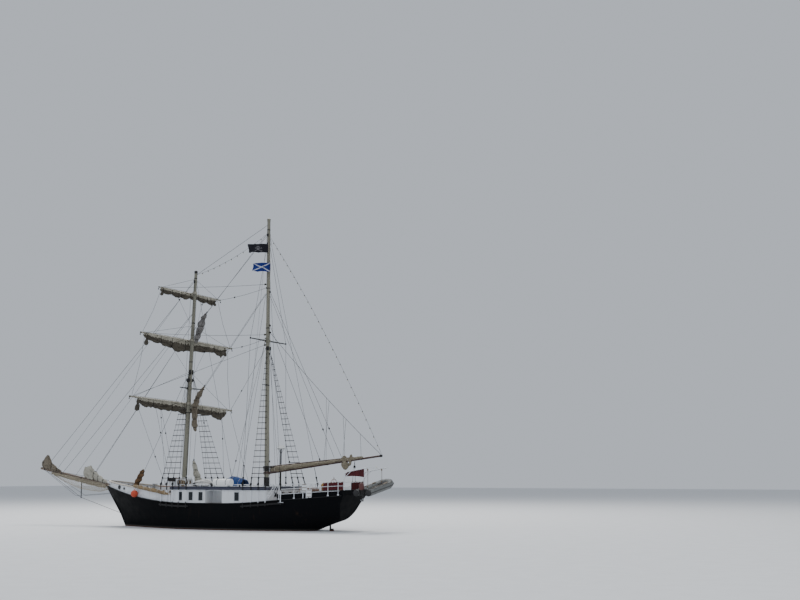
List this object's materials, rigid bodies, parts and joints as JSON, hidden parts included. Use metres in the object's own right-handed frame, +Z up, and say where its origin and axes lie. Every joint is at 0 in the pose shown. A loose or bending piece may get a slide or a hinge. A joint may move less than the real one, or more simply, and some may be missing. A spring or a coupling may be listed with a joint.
{
  "type": "two-masted brigantine sailing ship",
  "caption": "Two-masted brigantine with square yards on the foremast, a stowed gaff mainsail, full-width deckhouse, stern tender and whole hull with rudder and propeller.",
  "frame": {"origin": "on the mainmast's axis at the waterline", "axes": "+X forward, +Y to port, +Z up; z = 0 is the water's surface"},
  "size_m": [32.741, 9.2831, 26.3511],
  "materials": {
    "black_hull_paint": "satin",
    "white_paint": "satin",
    "cream_spar_paint": "satin",
    "navy_paint": "satin",
    "varnished_timber": "satin",
    "weathered_canvas": "matte",
    "white_canvas": "matte",
    "red_canvas": "matte",
    "blue_tarpaulin": "matte",
    "rigging_wire": "matte",
    "galvanized_steel": "matte",
    "bronze": "satin",
    "grey_tube_fabric": "matte",
    "black_plastic": "matte"
  },
  "bodies": {
    "ship": {"hull": "black_hull_paint", "fore_bulwark": "white_paint", "fore_cap_rail": "varnished_timber", "quarter_bulwark": "black_hull_paint", "deckhouse_walls": "white_paint", "deckhouse_roof": "navy_paint", "fore_trunk": "white_paint", "foremast": "cream_spar_paint", "mainmast": "cream_spar_paint", "bowsprit": "varnished_timber", "fore_port_rigging": "rigging_wire", "fore_starboard_rigging": "rigging_wire", "main_port_rigging": "rigging_wire", "main_starboard_rigging": "rigging_wire", "outer_fore_stay": "rigging_wire", "middle_fore_stay": "rigging_wire", "inner_fore_stay": "rigging_wire", "triatic_stay": "rigging_wire", "main_topmast_stay": "rigging_wire", "main_stay": "rigging_wire", "stem_stay": "rigging_wire", "port_quarter_rail": "white_paint", "starboard_quarter_rail": "white_paint", "stern_gantry": "white_paint", "tender": "grey_tube_fabric", "outboard_motor": "black_plastic", "gantry_cloth": "red_canvas", "port_weather_cloth": "red_canvas", "starboard_weather_cloth": "red_canvas", "helm_box": "varnished_timber", "after_companion": "white_paint", "windlass_bed": "black_hull_paint", "starboard_anchor": "galvanized_steel", "port_liferaft": "white_paint", "roof_locker": "blue_tarpaulin", "roof_bundle": "white_canvas", "radar_mast": "white_paint", "outer_jib": "white_canvas", "inner_jib": "white_canvas", "fore_staysail": "weathered_canvas", "upper_staysail": "white_canvas", "lower_staysail": "white_canvas", "deck_staysail": "white_canvas"},
    "topgallant": {"topgallant_yard": "varnished_timber", "topgallant_sail": "weathered_canvas"},
    "topsail": {"topsail_yard": "varnished_timber", "topsail_sail": "weathered_canvas"},
    "course": {"course_yard": "varnished_timber", "course_sail": "weathered_canvas"},
    "boom": {"boom": "cream_spar_paint", "gaff": "varnished_timber", "stowed_mainsail": "weathered_canvas"},
    "rudder": {"rudder": "black_hull_paint"},
    "steering_wheel": {"steering_wheel": "varnished_timber"},
    "propeller": {"propeller": "bronze"},
    "port_door": {"port_door": "varnished_timber"},
    "starboard_door": {"starboard_door": "varnished_timber"},
    "fore_hatch_lid": {"fore_hatch_lid": "black_plastic"},
    "companion_lid": {"companion_lid": "varnished_timber"},
    "windlass_drum": {"windlass_drum": "galvanized_steel"}
  },
  "joints": [
    {"name": "topgallant_brace", "type": "hinge", "parent": "ship", "child": "topgallant", "pos_m": [7.18215, 0, 18.44], "axis": [-0.0392, 0, 0.9992], "range_deg": [-12, 52]},
    {"name": "topsail_brace", "type": "hinge", "parent": "ship", "child": "topsail", "pos_m": [7.33072, 0, 14.65], "axis": [-0.0392, 0, 0.9992], "range_deg": [-12, 52]},
    {"name": "course_brace", "type": "hinge", "parent": "ship", "child": "course", "pos_m": [7.52711, 0, 9.64], "axis": [-0.0392, 0, 0.9992], "range_deg": [-12, 52]},
    {"name": "boom_swing", "type": "hinge", "parent": "ship", "child": "boom", "pos_m": [0.0371, 0, 4.2], "axis": [0, 0, 1], "range_deg": [-36, 36]},
    {"name": "rudder_turn", "type": "hinge", "parent": "ship", "child": "rudder", "pos_m": [-5.59, 0, -1], "axis": [0, 0, 1], "range_deg": [-35, 35]},
    {"name": "wheel_turn", "type": "hinge", "parent": "ship", "child": "steering_wheel", "pos_m": [-5.86, 0, 3.33], "axis": [1, 0, 0], "range_deg": [-560, 560]},
    {"name": "propeller_turn", "type": "hinge", "parent": "ship", "child": "propeller", "pos_m": [-4.9, 0, -1.5], "axis": [1, 0, 0], "continuous": true},
    {"name": "port_door_swing", "type": "hinge", "parent": "ship", "child": "port_door", "pos_m": [2.457, 1.956, 2.4], "axis": [0, 0, 1], "range_deg": [0, 95]},
    {"name": "starboard_door_swing", "type": "hinge", "parent": "ship", "child": "starboard_door", "pos_m": [2.457, -1.956, 2.4], "axis": [0, 0, -1], "range_deg": [0, 95]},
    {"name": "fore_hatch_tilt", "type": "hinge", "parent": "ship", "child": "fore_hatch_lid", "pos_m": [9.09, 0, 3.56], "axis": [0, 1, 0], "range_deg": [0, 95]},
    {"name": "companion_slide", "type": "slide", "parent": "ship", "child": "companion_lid", "axis": [1, 0, 0], "range_m": [0, 0.6]},
    {"name": "windlass_turn", "type": "hinge", "parent": "ship", "child": "windlass_drum", "pos_m": [11.7, 0, 2.96], "axis": [0, 1, 0], "continuous": true}
  ],
  "couplings": [
    {"joint": "wheel_turn", "follows": "rudder_turn", "ratio": 16}
  ]
}
